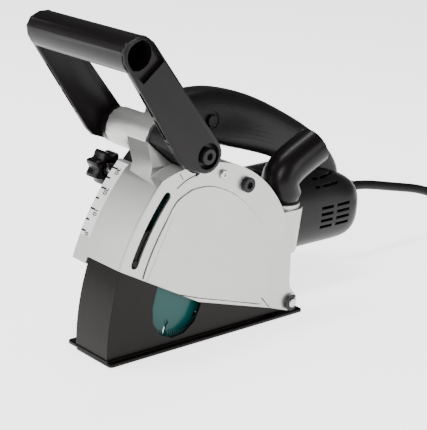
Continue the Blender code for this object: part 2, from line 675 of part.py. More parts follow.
def build_depth_stop(stop, knob):
    """The clamp in the scale strip's slot: a block behind, a stud, a washer, a pointer, a knob."""
    at = polar(PIN, STOP_R, STOP_ANGLE)
    centre = (at[0], 0, at[1])
    bore = STUD_R + GAP
    block = ring(STOP_HALF + 1.0, bore, 27.0, STRIP_FAR - STRIP_THICK - GAP, "Y", centre, 16)
    piece("stop_block", block, "steel", stop)
    piece("stop_stud", rod(STUD_R, 24.0, KNOB_Y[1] - 2.2, "Y", centre, 12), "steel", stop)
    piece("stop_washer", ring(7.0, bore, STRIP_FAR + GAP, 39.6, "Y", centre), "steel", stop)
    tip = polar(PIN, STRIP_R + 5.5, STOP_ANGLE)
    outline = [(at[0] - 4, at[1] - 4), (at[0] + 4, at[1] + 4), tip]
    pointer = piece("stop_pointer", prism(outline, 39.9, 41.2), "black_plastic", stop)
    cut(pointer, ring_hole(bore, 30, 50, at))
    sleeve = ring(SLEEVE_R, bore, 41.6, KNOB_FACE - 2 * GAP, "Y", centre, 16)
    piece("stop_sleeve", sleeve, "steel", stop)

    star = piece("depth_knob", rounded_prism(star_outline(at), *KNOB_Y, 1.8, 2), "black_plastic", knob)
    cut(star, ring_hole(KNOB_HOLLOW_R, KNOB_Y[0] - 2, KNOB_FACE, at, 24))
    cut(star, ring_hole(bore, KNOB_Y[0], KNOB_Y[1] - 1.8, at))


# ---------------------------------------------------------------- spindle and blades


def blade_outline():
    """A segmented diamond blade: ten rim segments parted by keyhole gullets that widen outwards."""
    half = GULLET_MOUTH / BLADE_R
    span = tau / BLADE_SEGMENTS - 2 * half
    outline = []
    for s in range(BLADE_SEGMENTS):
        middle = tau * s / BLADE_SEGMENTS
        out = Vector((cos(middle), sin(middle)))
        side = Vector((-out.y, out.x))
        for degree in (22, 90, 150, 210, 270, 338):
            a = radians(degree)
            reach = GULLET_DEEP + GULLET_HOLE_R * cos(a)
            outline.append(tuple(out * reach - side * GULLET_HOLE_R * sin(a)))
        for i in range(4):
            a = middle + half + span * i / 3
            outline.append((BLADE_R * cos(a), BLADE_R * sin(a)))
    return [(SPINDLE[0] + x, SPINDLE[1] + z) for x, z in outline]


def build_spindle(spin):
    at = (SPINDLE[0], 0, SPINDLE[1])
    near, far = -BLADE_SPREAD, BLADE_SPREAD
    half = BLADE_THICK / 2
    for name, y in (("blade_near", near), ("blade_far", far)):
        blade = piece(name, prism(blade_outline(), y - half, y + half), "blade_teal", spin)
        cut(blade, ring_hole(BLADE_BORE, -30, 30, SPINDLE, 28))
    shaft = [(0, -19.6), (SPINDLE_R - 0.8, -19.6), (SPINDLE_R, -18.8), (SPINDLE_R, 40.0)]
    shaft += [(6.0, 40.0), (6.0, 70.0), (5.4, 70.6), (0, 70.6)]
    piece("spindle", turned(shaft, "Y", at), "steel", spin)
    sleeve = SPINDLE_R + GAP
    bore = BLADE_BORE - GAP
    inner = [(22.0, far + half + GAP), (22.0, 18.4), (13.0, 19.8), (13.0, 23.6), (sleeve, 23.6)]
    inner += [(sleeve, far - half - GAP), (bore, far - half - GAP), (bore, far + half + GAP)]
    piece("inner_flange", turned(inner, "Y", at, 20), "steel", spin)
    spacers = (("spacer_near", -8.0, near + half + GAP), ("spacer_mid", -0.9, -7.7))
    for name, high, low in spacers + (("spacer_far", far - half - 2 * GAP, -0.6),):
        piece(name, ring(20.0, sleeve, low, high, "Y", at, 20), "steel", spin)
    outer = [(22.0, near - half - GAP), (22.0, -15.8), (sleeve, -15.8), (sleeve, near + half)]
    outer += [(bore, near + half), (bore, near - half - GAP)]
    piece("outer_flange", turned(outer, "Y", at, 20), "steel", spin)
    nut = piece("lock_nut", ring(16.0, sleeve, -19.6, -16.1, "Y", at, 28), "dark_steel", spin)
    pins = [(SPINDLE[0] + 11.5 * cos(a), SPINDLE[1] + 11.5 * sin(a)) for a in (0, pi)]
    cut(nut, many(*(ring_hole(1.9, -30, -17.6, p, 12) for p in pins)))
    piece("bevel_gear", bevel_gear(at), "steel", spin)


def bevel_gear(at):
    steps = GEAR_TEETH * 3
    levels = [(6.3, 44.0, 0), (18.0, 44.0, 0), (GEAR_R, 47.5, 1.1), (18.0, 50.2, 0.7), (6.3, 50.2, 0)]
    rings = []
    for radius, y, tooth in levels:
        row = []
        for i in range(steps):
            a = tau * i / steps
            lift = tooth if i % 3 == 1 else 0
            row.append((at[0] + radius * cos(a), y + lift, at[2] + radius * sin(a)))
        rings.append(row)
    return closed_loft(rings)


def closed_loft(rings):
    """Rings that also join last to first, as round a tube's wall."""
    size = len(rings[0])
    points = [p for row in rings for p in row]
    faces = []
    for r in range(len(rings)):
        s = (r + 1) % len(rings)
        for i in range(size):
            k = (i + 1) % size
            faces.append((r * size + i, r * size + k, s * size + k, s * size + i))
    return points, faces


# ---------------------------------------------------------------- motor and gearbox


def build_gearbox(tool, lock):
    at = (SPINDLE[0], 0, SPINDLE[1])
    axis = (0, MOTOR_Y, SPINDLE[1])
    shell = [(0, CASE_FAR + GAP), (28.2, CASE_FAR + GAP), (28.2, 71.0), (25.0, 75.0), (0, 75.0)]
    housing = piece("gear_housing", turned(shell, "Y", at, 28), "housing_grey", tool)
    add(housing, rod(34.0, -104.0, MOTOR_FRONT - GAP, "X", axis, 30, 3.0))
    cut(housing, rod(26.3, CASE_FAR - 6, 70.0, "Y", at, 28, 2.0))
    cut(housing, rod(29.5, -96.0, MOTOR_FRONT + 3, "X", axis, 30, 4.0))
    cut(housing, ring_hole(9.0 + GAP, 60, 73.0, SPINDLE, 24))
    cut(housing, ring_hole(LOCK_R + 0.7, 60, 90, LOCK_AT, 16))
    boxed = [(24.2, CASE_FAR - 2.4), (24.2, CASE_FAR + GAP), (25.8, CASE_FAR + GAP), (25.8, 34.6)]
    boxed += [(17.0, 36.0), (15.6, 36.0), (15.6, 24.8), (13.4, 24.8), (13.4, CASE_FAR - 2.4)]
    piece("bearing_box", turned(boxed, "Y", at, 28), "cast_silver", tool)
    piece("spindle_bearing", ring(15.3, SPINDLE_R + GAP, 25.1, 35.6, "Y", at), "steel", tool)
    piece("needle_bearing", ring(9.0, 6.0 + GAP, 61.0, 72.6, "Y", at), "steel", tool)
    pin = [(0, 71.0), (LOCK_R, 71.0), (LOCK_R, 78.4), (8.0, 78.4), (8.0, 82.0), (7.2, 82.8), (0, 82.8)]
    cap = turned(pin, "Y", (LOCK_AT[0], 0, LOCK_AT[1]), 20)
    piece("shaft_lock_button", cap, "black_plastic", lock)


def build_motor(tool, turning):
    axis = (0, MOTOR_Y, SPINDLE[1])
    inner = MOTOR_R - MOTOR_WALL
    tube = [(MOTOR_R - 1, MOTOR_FRONT), (MOTOR_R, MOTOR_FRONT + 1), (MOTOR_R, MOTOR_REAR)]
    tube += [(inner, MOTOR_REAR), (inner, MOTOR_FRONT)]
    housing = piece("motor_housing", turned(tube, "X", axis, 30), "housing_grey", tool)
    caps = []
    for side in (-1, 1):
        reach = sorted((side * 20.0, side * 50.0))
        caps.append(rod(BRUSH_CAP_R + GAP, *reach, "Y", (BRUSH_X, MOTOR_Y, SPINDLE[1]), 18))
    cut(housing, many(*caps))

    stator = [(inner - GAP, -30.0), (inner - GAP, 18.0), (23.6, 18.0), (23.6, -30.0)]
    piece("field_stator", turned(stator, "X", axis, 24), "dark_steel", tool)
    piece("armature_shaft", armature_shaft(axis), "steel", turning)
    core = ring(22.8, 6.0 + GAP, -29.0, 17.0, "X", axis, 20)
    piece("armature_core", core, "dark_steel", turning)
    piece("commutator", ring(13.0, 6.0 + GAP, 42.0, 66.0, "X", axis, 24), "copper", turning)
    fan = piece("cooling_fan", ring(14.0, 6.0 + GAP, -58.0, -46.0, "X", axis, 20), "black_plastic", turning)
    add(fan, ring(28.0, 12.0, -49.0, -46.0, "X", axis, 28))
    for i in range(9):
        add_blade(fan, axis, tau * i / 9)
    piece("bevel_pinion", pinion(axis), "steel", turning)
    piece("front_bearing", ring(14.0, 6.0 + GAP, -78.0, -66.0, "X", axis), "steel", tool)
    carrier = ring(29.2, 14.0 + GAP, -76.0, -68.0, "X", axis, 32)
    piece("bearing_retainer", carrier, "cast_silver", tool)
    piece("rear_bearing", ring(9.5, 4.0 + GAP, 84.0, 93.0, "X", axis), "steel", tool)
    for name, side in (("near", -1), ("far", 1)):
        low, high = sorted((side * (13.0 + GAP), side * 24.0))
        block = box((49.0, 59.0), (MOTOR_Y + low, MOTOR_Y + high), (61.5, 68.5))
        piece(f"carbon_brush_{name}", block, "carbon", tool)
        low, high = sorted((side * (24.0 + GAP), side * BRUSH_CAP_OUT))
        cap = rod(BRUSH_CAP_R, low, high, "Y", (BRUSH_X, MOTOR_Y, SPINDLE[1]), 18, 0.5)
        brush_cap = piece(f"brush_cap_{name}", cap, "black_plastic", tool)
        notch = sorted((side * (BRUSH_CAP_OUT - 1), side * 38.0))
        cut(brush_cap, box((51, 61), (MOTOR_Y + notch[0], MOTOR_Y + notch[1]), (64.2, 65.8)))


def add_blade(fan, axis, angle):
    turn = Matrix.Rotation(angle, 4, "X")
    points, faces = box((-57.5, -47.0), (-0.9, 0.9), (12.0, 27.0))
    moved = [tuple(turn @ Vector(p) + Vector(axis)) for p in points]
    add(fan, (moved, faces))


def armature_shaft(axis):
    shaft = [(0, -84.0), (4.0, -84.0), (4.0, -81.0), (6.0, -81.0), (6.0, 80.0), (4.0, 80.0)]
    return turned(shaft + [(4.0, 95.0), (0, 95.0)], "X", axis, 20)


def pinion(axis):
    steps = PINION_TEETH * 3
    levels = [(4.0 + GAP, -96.5, 0), (5.2, -96.5, 0.9), (PINION_R - 0.6, -85.5, 1.1)]
    levels += [(4.0 + GAP, -81.4, 0)]
    rings = []
    for radius, x, tooth in levels:
        row = []
        for i in range(steps):
            a = tau * i / steps
            r = radius + (tooth if i % 3 == 1 else 0) - tooth / 2
            row.append((x, axis[1] + r * cos(a), axis[2] + r * sin(a)))
        rings.append(row)
    return closed_loft(rings)


# ---------------------------------------------------------------- rear handle


def grip_rings(shrink, power=3.0, steps=16):
    """Rounded sections of the rear handle, each set across one pair of points."""
    rings = []
    for outer, inner in GRIP_SECTIONS:
        outer, inner = Vector(outer), Vector(inner)
        centre, across = (outer + inner) / 2, (outer - inner).normalized()
        tall, wide = (outer - inner).length / 2 - shrink, GRIP_HALF - shrink
        row = []
        for k in range(steps):
            c, s = cos(tau * k / steps), sin(tau * k / steps)
            r = 1 / (abs(c) ** power + abs(s) ** power) ** (1 / power)
            spot = centre + across * (tall * r * s)
            row.append((spot.x, MOTOR_Y + wide * r * c, spot.y))
        rings.append(row)
    return rings


def rear_rings(shrink):
    """Rounded-square sections of the rear cover, drawn in towards its tail."""
    rings = []
    for x, wide, low, high in REAR_SECTIONS:
        rings.append(squircle(x - shrink, wide - shrink, low + shrink, high - shrink))
    return rings


def squircle(x, wide, low, high, power=2.7, steps=24):
    """A section between an ellipse and a rectangle, in the YZ plane."""
    middle, tall = (low + high) / 2, (high - low) / 2
    row = []
    for k in range(steps):
        a = tau * k / steps
        c, s = cos(a), sin(a)
        r = 1 / (abs(c) ** power + abs(s) ** power) ** (1 / power)
        row.append((x, MOTOR_Y + wide * r * c, middle + tall * r * s))
    return row


def vents():
    """Eight low slots and four high ones, through the wall of the rear cover."""
    across = (MOTOR_Y - 60, MOTOR_Y + 60)
    shapes = []
    for ends, lowest, pitch, tall, count in VENT_BANKS:
        for i in range(count):
            z = lowest + pitch * i
            shapes.append(box(ends, across, (z, z + tall)))
    return many(*shapes)


def build_rear_handle(tool, trigger, button):
    """The shells of the arched handle and the motor's rear cover, with the switch between them."""
    grip, hollow = loft(grip_rings(0)), loft(grip_rings(SHELL_WALL)[1:-1])
    cover, inside = loft(rear_rings(0)), loft(rear_rings(SHELL_WALL))
    big = 300.0
    halves = (("handle_shell_near", -big, MOTOR_Y), ("handle_shell_far", MOTOR_Y + GAP, big))
    for name, y0, y1 in halves:
        shell = piece(name, grip, "housing_grey", tool)
        add(shell, cover)
        cut(shell, inside, hollow)
        cut(shell, rod(MOTOR_R + GAP, -130, MOTOR_REAR + GAP, "X", (0, MOTOR_Y, SPINDLE[1]), 36, 0.01))
        cut(shell, vents())
        cut(shell, rod(7.4, 120, 150, "X", (0, MOTOR_Y, CORD_EXIT[2]), 20, 0.01))
        slack = TRIGGER_HALF + 0.6
        cut(shell, prism(TRIGGER_MOUTH, MOTOR_Y - slack, MOTOR_Y + slack))
        cut(shell, ring_hole(BUTTON_R + 0.4, MOTOR_Y - 40, MOTOR_Y - 10, BUTTON_AT, 20))
        cut(shell, ring_hole(BUTTON_R + 3.0, MOTOR_Y - 40, MOTOR_Y - GRIP_HALF + 0.9, BUTTON_AT, 24))
        combine(shell, box((-big, big), (y0, y1), (-big, big)), "INTERSECT")
        for change in shell.modifiers:
            change.solver = "MANIFOLD"
    switch = box((-76.0, -30.0), (MOTOR_Y - 11, MOTOR_Y + 11), (152.4, 172.4))
    piece("switch_body", switch, "black_plastic", tool)
    lever = prism(TRIGGER, MOTOR_Y - TRIGGER_HALF, MOTOR_Y + TRIGGER_HALF)
    piece("switch_trigger", lever, "black_plastic", trigger)
    knob = rod(BUTTON_R, MOTOR_Y - 19.4, MOTOR_Y - 13.4, "Y", (BUTTON_AT[0], 0, BUTTON_AT[1]), 20)
    piece("lock_on_button", knob, "black_plastic", button)


# ---------------------------------------------------------------- front handle


def arm_outline():
    """Side view of an arm: round the clamp bolt at the foot, round the grip at the head."""
    foot = [polar(HANDLE_AXIS, ARM_FOOT_R, a) for a in range(150, 300, 18)]
    return foot + [(-133.0, 150.0), (-139.0, 156.0), (-190.0, 228.5)] + list(ARM_HEAD)


def edge_slots(low, high):
    """Three long slots in an arm's front edge, one below the other."""
    shapes = []
    for top, bottom in ARM_SLOTS:
        top, bottom = Vector(top), Vector(bottom)
        along = (bottom - top).normalized()
        inward = Vector((-along.y, along.x))
        outline = [top - inward * 6, bottom - inward * 6]
        outline += [bottom + inward * ARM_SLOT_DEEP, top + inward * ARM_SLOT_DEEP]
        shapes.append(prism([tuple(p) for p in outline], low, high))
    return many(*shapes)


def build_front_handle(tool, handle):
    """Two arms and a hollow bar in one moulding, clamped to the case's boss by a long bolt."""
    arm = arm_outline()
    whole = piece("front_handle", rounded_prism(arm, *ARM_NEAR, 1.6, 2), "black_plastic", handle)
    add(whole, rounded_prism(arm, *ARM_FAR, 1.6, 2))
    bar = [tuple(p) for p in smooth_closed(BAR, 2)]
    add(whole, prism(bar, ARM_NEAR[0] + 3, ARM_FAR[1] - 3))
    inward = inward_normals(bar)
    bore = [(x + n.x * BAR_WALL, z + n.y * BAR_WALL) for (x, z), n in zip(bar, inward)]
    cut(whole, prism(bore, ARM_NEAR[0] - 5, 60.0))
    cut(whole, prism(ARM_POCKET, ARM_NEAR[0] - 5, ARM_NEAR[1] - BAR_WALL))
    for low, high in (ARM_NEAR, ARM_FAR):
        middle = (low + high) / 2
        cut(whole, edge_slots(middle - ARM_SLOT_HALF, middle + ARM_SLOT_HALF))
    cut(whole, ring_hole(10.4, ARM_NEAR[0] - 2, ARM_NEAR[0] + 4.6, HANDLE_AXIS, 28))
    cut(whole, ring_hole(4.3, -60, 120, HANDLE_AXIS))

    centre = (HANDLE_AXIS[0], 0, HANDLE_AXIS[1])
    near_collar = ring(COLLAR_R, 5.0, ARM_NEAR[1] + GAP, BOSS_Y[0] - GAP, "Y", centre, 32)
    piece("collar_near", near_collar, "housing_grey", handle)
    far_collar = ring(COLLAR_R, 5.0, BOSS_Y[1] + GAP, ARM_FAR[0] - GAP, "Y", centre, 32)
    piece("collar_far", far_collar, "black_plastic", handle)
    head, back = ARM_NEAR[0] - 1.6, ARM_NEAR[0] + 4.3
    bolt = [(0, head), (5.8, head), (6.5, head + 0.7), (6.5, back), (4.0, back), (4.0, BOLT_END)]
    bolt = piece("handle_bolt", turned(bolt + [(0, BOLT_END)], "Y", centre), "dark_steel", handle)
    cut(bolt, rod(3.2, head - 1, head + 3.6, "Y", centre, 6, 0.01))
    nut = piece("handle_nut", rod(7.4, ARM_FAR[1] + GAP, ARM_FAR[1] + 4.4, "Y", centre, 6), "steel", handle)
    cut(nut, ring_hole(4.0 + GAP, ARM_FAR[1], BOLT_END + 5, HANDLE_AXIS))


# ---------------------------------------------------------------- dust nozzle


def build_nozzle(nozzle):
    path = [Vector((x, NOZZLE_AT[1], z)) for x, z in NOZZLE_LINE]
    outer = [NOZZLE_FOOT_R] + [NOZZLE_R] * (len(path) - 1)
    elbow = piece("dust_nozzle", tube_along(path, outer), "black_plastic", nozzle)
    beyond = (path[-1] - path[-2]).normalized() * 2
    inner = [path[0] - Vector((0, 0, 2))] + path[1:-1] + [path[-1] + beyond]
    cut(elbow, tube_along(inner, [r - NOZZLE_WALL for r in outer]))


# ---------------------------------------------------------------- cord


def cord_route():
    """Out of the boot, down in a slack curve to the floor, and on past the coil's edge."""
    spots = ((CORD_EXIT[0], CORD_EXIT[2]),) + CORD_DROP + ((COIL_CENTRE[0], CORD_LOW),)
    return [(x, MOTOR_Y, z) for x, z in spots]


def build_cord(tool):
    exit_x = CORD_EXIT[0]
    boot = [(4.9, 128.0), (9.5, 128.0), (9.5, 131.0), (7.1, 131.0), (7.1, 140.0), (6.6, 144.0)]
    boot += [(5.4, exit_x - GAP), (4.9, exit_x - GAP)]
    centre = (0, MOTOR_Y, CORD_EXIT[2])
    piece("cord_guard", turned(boot, "X", centre, 20), "rubber", tool)

    curve = bpy.data.curves.new("power_cord", "CURVE")
    curve.dimensions = "3D"
    line = curve.splines.new("POLY")
    points = smooth_open(cord_route(), 2)
    line.points.add(len(points) - 1)
    for spot, p in zip(line.points, points):
        spot.co = (*(p * MM), 1)
    curve.bevel_depth = CORD_R * MM
    curve.bevel_resolution = 2
    curve.use_fill_caps = True
    curve.materials.append(make_material("rubber"))
    cord = bpy.data.objects.new("power_cord", curve)
    bpy.context.scene.collection.objects.link(cord)
    cord.parent = tool
    cord.matrix_parent_inverse = tool.matrix_world.inverted()

    reach = COIL_COLUMNS * CORD_R
    tall = COIL_LAYERS * 2 * CORD_R
    coil = ring(COIL_MID_R + reach, COIL_MID_R - reach, 0.1, tall, "Z", (*COIL_CENTRE, 0), 40)
    piece("cord_coil", coil, "rubber", tool)
    build_plug(tool)


def build_plug(tool):
    """A generic two-pin moulded plug, lying beside the coil, its pins toward the tool."""
    x, z = COIL_CENTRE[0], 12.0
    y = COIL_CENTRE[1] - COIL_MID_R - COIL_COLUMNS * CORD_R - PLUG_AWAY
    rings = []
    for along, wide, tall in PLUG_SECTIONS:
        turn = (tau * k / 20 for k in range(20))
        rings.append([(x - along, y + wide * cos(a), z + tall * sin(a)) for a in turn])
    plug = piece("cord_plug", loft(rings), "rubber", tool)
    for side in (-PLUG_PIN_APART / 2, PLUG_PIN_APART / 2):
        add(plug, rod(2.4, -33.0, -12.0, "X", (x, y + side, z), 12))


def build():
    clear_scene()
    root = body("base_body", PIN[0], 0, PIN[1])
    tool = body("tool_body", PIN[0], 0, PIN[1], root)
    build_base(root)
    build_case(tool)
    stop_at = polar(PIN, STOP_R, STOP_ANGLE)
    stop = body("depth_stop_body", PIN[0], 0, PIN[1], tool)
    knob = body("depth_knob_body", stop_at[0], 55, stop_at[1], stop)
    build_depth_stop(stop, knob)
    spin = body("spindle_body", SPINDLE[0], 0, SPINDLE[1], tool)
    build_spindle(spin)
    lock = body("shaft_lock_body", LOCK_AT[0], 78.4, LOCK_AT[1], tool)
    build_gearbox(tool, lock)
    turning = body("armature_body", 0, MOTOR_Y, SPINDLE[1], tool)
    build_motor(tool, turning)
    trigger = body("trigger_body", TRIGGER_PIVOT[0], MOTOR_Y, TRIGGER_PIVOT[1], tool)
    button = body("lock_on_body", BUTTON_AT[0], MOTOR_Y - 19, BUTTON_AT[1], tool)
    build_rear_handle(tool, trigger, button)
    handle = body("front_handle_body", HANDLE_AXIS[0], 0, HANDLE_AXIS[1], tool)
    build_front_handle(tool, handle)
    nozzle = body("dust_nozzle_body", NOZZLE_AT[0], NOZZLE_AT[1], DUCT_Z[1], tool)
    build_nozzle(nozzle)
    build_cord(tool)


build()
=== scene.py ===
"""The looks of a wall chaser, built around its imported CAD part. Metres, +Z up, -X forward."""

import json
from math import cos, pi, radians, sin, tau

import bmesh
import bpy
from mathutils import Matrix, Vector
from mathutils.bvhtree import BVHTree


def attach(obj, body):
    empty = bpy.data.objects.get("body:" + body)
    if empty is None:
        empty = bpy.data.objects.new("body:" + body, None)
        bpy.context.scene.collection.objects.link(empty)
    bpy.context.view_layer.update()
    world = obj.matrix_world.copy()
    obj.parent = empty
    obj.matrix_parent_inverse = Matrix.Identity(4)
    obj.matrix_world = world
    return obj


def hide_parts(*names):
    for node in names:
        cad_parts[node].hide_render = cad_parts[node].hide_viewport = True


MM = 0.001
SHARP = radians(32)
PIN = (0.0, 11.5)
MOTOR_Y, MOTOR_Z = 60.0, 65.0
SPINDLE = (-114.6, 65.0)

# Camera, lights and floor
EYE = (-753.4, -739.7, 417.8)
VIEW_AZIMUTH, VIEW_ELEVATION, VIEW_ROLL = -42.6, 17.8, 3.4
LENS_MM = 109.7
FLOOR_GLOW, SKY_STRENGTH = 2.4, 0.12

# Cover
COVER_FACE = -22.0

# Cord
CORD_D = 0.009
CORD_EXIT = (160.0, 60.0, 68.0)
CORD_DROP = ((169.0, 67.4), (181.0, 65.8), (196.0, 63.0), (214.0, 59.2), (232.0, 55.4), (250.0, 51.6),
             (267.0, 47.0), (283.0, 41.4), (298.0, 34.4), (314.0, 25.8), (330.0, 17.4), (346.0, 10.4),
             (361.0, 6.0), (373.0, 4.7), (384.0, 4.6))
COIL_CENTRE, COIL_INNER_R, TURN_GAP, TURNS_BELOW, TURNS_ABOVE = (384.0, -8.3), 41.0, 9.15, 3, 2.72
LAYER_LOW, LAYER_HIGH, POINTS_PER_TURN, CLIMB_POINTS = 4.6, 13.9, 40, 10
PLUG_REAR = (414.0, -89.8, 12.0)

# Scale
LABEL_R = 194.3
ZERO_ANGLE, FULL_ANGLE = 24.3, 40.2

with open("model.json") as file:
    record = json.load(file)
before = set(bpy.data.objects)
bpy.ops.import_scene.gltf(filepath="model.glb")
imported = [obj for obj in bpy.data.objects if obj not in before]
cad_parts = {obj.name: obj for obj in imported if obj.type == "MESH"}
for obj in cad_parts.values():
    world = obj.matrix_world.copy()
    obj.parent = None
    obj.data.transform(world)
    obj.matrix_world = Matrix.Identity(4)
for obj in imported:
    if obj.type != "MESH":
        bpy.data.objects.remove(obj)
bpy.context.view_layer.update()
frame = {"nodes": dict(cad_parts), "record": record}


# ---------------------------------------------------------------- shapes


def polar(centre, radius, angle):
    """A point in the XZ plane, at an angle in degrees above the forward direction."""
    return centre[0] - radius * cos(radians(angle)), centre[1] + radius * sin(radians(angle))


def arc(centre, radius, start, end, steps):
    return [polar(centre, radius, start + (end - start) * i / steps) for i in range(steps + 1)]


def spline_point(p0, p1, p2, p3, t):
    return 0.5 * (
        2 * p1
        + (p2 - p0) * t
        + (2 * p0 - 5 * p1 + 4 * p2 - p3) * t**2
        + (3 * p1 - p0 - 3 * p2 + p3) * t**3
    )


def smooth_open(points, steps):
    """A smooth line through the points, ends included."""
    last = len(points) - 1
    line = []
    for i in range(last):
        picks = (max(i - 1, 0), i, i + 1, min(i + 2, last))
        p0, p1, p2, p3 = (Vector(points[k]) for k in picks)
        line += [spline_point(p0, p1, p2, p3, s / steps) for s in range(steps)]
    return line + [Vector(points[last])]


def prism(outline, low, high):
    """An outline in XZ, extruded along Y."""
    count = len(outline)
    points = [(x, y, z) for y in (low, high) for x, z in outline]
    faces = [tuple(range(count)), tuple(range(2 * count - 1, count - 1, -1))]
    faces += [(i, (i + 1) % count, (i + 1) % count + count, i + count) for i in range(count)]
    return points, faces


def box(x, y, z):
    return prism([(x[0], z[0]), (x[1], z[0]), (x[1], z[1]), (x[0], z[1])], y[0], y[1])


def loft(rings):
    """Skins rings of equal length, and closes both ends."""
    size = len(rings[0])
    points = [p for ring in rings for p in ring]
    faces = [tuple(range(size)), tuple(range(len(points) - 1, len(points) - size - 1, -1))]
    for r in range(len(rings) - 1):
        for i in range(size):
            a, b = r * size + i, r * size + (i + 1) % size
            faces.append((a, b, b + size, a + size))
    return points, faces


def place(point, axis, centre):
    """Turns a point made about +Z so that its axis is X, Y or Z, and moves it to centre."""
    a, b, along = point
    spot = {"X": (along, a, b), "Y": (b, along, a), "Z": (a, b, along)}[axis]
    return tuple(s + c for s, c in zip(spot, centre))


def turned(profile, axis, centre, steps=48):
    """A profile of (radius, distance along the axis), turned about an axis."""
    points, rows = [], []
    for radius, along in profile:
        if radius == 0:
            rows.append([len(points)] * steps)
            points.append((0, 0, along))
        else:
            rows.append(list(range(len(points), len(points) + steps)))
            turn = (tau * i / steps for i in range(steps))
            points += [(radius * cos(a), radius * sin(a), along) for a in turn]
    faces = []
    for j, row in enumerate(rows):
        after = rows[(j + 1) % len(rows)]
        for i in range(steps):
            k = (i + 1) % steps
            face = list(dict.fromkeys((row[i], row[k], after[k], after[i])))
            if len(face) > 2:
                faces.append(tuple(face))
    return [place(p, axis, centre) for p in points], faces


def many(*shapes):
    """Several separate shapes as one."""
    points, faces = [], []
    for more_points, more_faces in shapes:
        start = len(points)
        points += more_points
        faces += [tuple(i + start for i in face) for face in more_faces]
    return points, faces


def mesh_object(name, geometry):
    points, faces = geometry
    mesh = bpy.data.meshes.new(name)
    mesh.from_pydata([[c * MM for c in p] for p in points], [], faces)
    shape = bmesh.new()
    shape.from_mesh(mesh)
    bmesh.ops.recalc_face_normals(shape, faces=shape.faces)
    shape.to_mesh(mesh)
    shape.free()
    thing = bpy.data.objects.new(name, mesh)
    bpy.context.scene.collection.objects.link(thing)
    return thing


def soften(thing, angle=SHARP):
    thing.data.shade_smooth()
    thing.data.set_sharp_from_angle(angle=angle)
    return thing


def boolean(thing, geometry, operation):
    """Cuts, adds or crosses a shape, and keeps only the result."""
    helper = mesh_object("helper", geometry)
    change = thing.modifiers.new("boolean", "BOOLEAN")
    change.operation = operation
    change.solver = "MANIFOLD"
    change.object = helper
    bpy.context.view_layer.update()
    graph = bpy.context.evaluated_depsgraph_get()
    result = bpy.data.meshes.new_from_object(thing.evaluated_get(graph))
    thing.modifiers.clear()
    thing.data = result
    bpy.data.objects.remove(helper)


def bevel(thing, width, segments=2, angle=30):
    change = thing.modifiers.new("bevel", "BEVEL")
    change.width = width * MM
    change.segments = segments
    change.limit_method = "ANGLE"
    change.angle_limit = radians(angle)
    change.use_clamp_overlap = True
    change.harden_normals = True


# ---------------------------------------------------------------- materials


def new_node(tree, kind, **values):
    node = tree.nodes.new(kind)
    for name, value in values.items():
        node.inputs[name.replace("_", " ")].default_value = value
    return node


def procedural(
    name, colour, rough, metal, grain, bump, stretch=(1, 1, 1), coat=0.0, vary=0.12, shine=0.5
):
    """A finish with fine grain: its colour, roughness and height follow noise in two sizes."""
    material = bpy.data.materials.new(name)
    material.use_nodes = True
    tree = material.node_tree
    shader = tree.nodes["Principled BSDF"]
    shader.inputs["Metallic"].default_value = metal
    shader.inputs["Coat Weight"].default_value = coat
    shader.inputs["Coat Roughness"].default_value = 0.12
    shader.inputs["Specular IOR Level"].default_value = shine
    coords = tree.nodes.new("ShaderNodeTexCoord")
    scaling = new_node(tree, "ShaderNodeMapping", Scale=stretch)
    tree.links.new(coords.outputs["Object"], scaling.inputs["Vector"])
    fine = new_node(tree, "ShaderNodeTexNoise", Scale=grain, Detail=6.0, Roughness=0.6)
    broad = new_node(tree, "ShaderNodeTexNoise", Scale=grain / 40, Detail=3.0, Roughness=0.5)
    for noise in (fine, broad):
        tree.links.new(scaling.outputs["Vector"], noise.inputs["Vector"])
    blend = tree.nodes.new("ShaderNodeMix")
    blend.data_type = "RGBA"
    blend.inputs[6].default_value = (*(c * (1 - vary) for c in colour), 1)
    blend.inputs[7].default_value = (*(min(c * (1 + vary), 1) for c in colour), 1)
    tree.links.new(broad.outputs["Fac"], blend.inputs[0])
    tree.links.new(blend.outputs[2], shader.inputs["Base Color"])
    range_node = tree.nodes.new("ShaderNodeMapRange")
    range_node.inputs["To Min"].default_value = max(rough - 0.07, 0.02)
    range_node.inputs["To Max"].default_value = min(rough + 0.07, 1)
    tree.links.new(fine.outputs["Fac"], range_node.inputs["Value"])
    tree.links.new(range_node.outputs["Result"], shader.inputs["Roughness"])
    edge = new_node(tree, "ShaderNodeBevel", Radius=0.0005)
    edge.samples = 4
    height = new_node(tree, "ShaderNodeBump", Strength=bump, Distance=0.0002)
    tree.links.new(fine.outputs["Fac"], height.inputs["Height"])
    tree.links.new(edge.outputs["Normal"], height.inputs["Normal"])
    tree.links.new(height.outputs["Normal"], shader.inputs["Normal"])
    return material


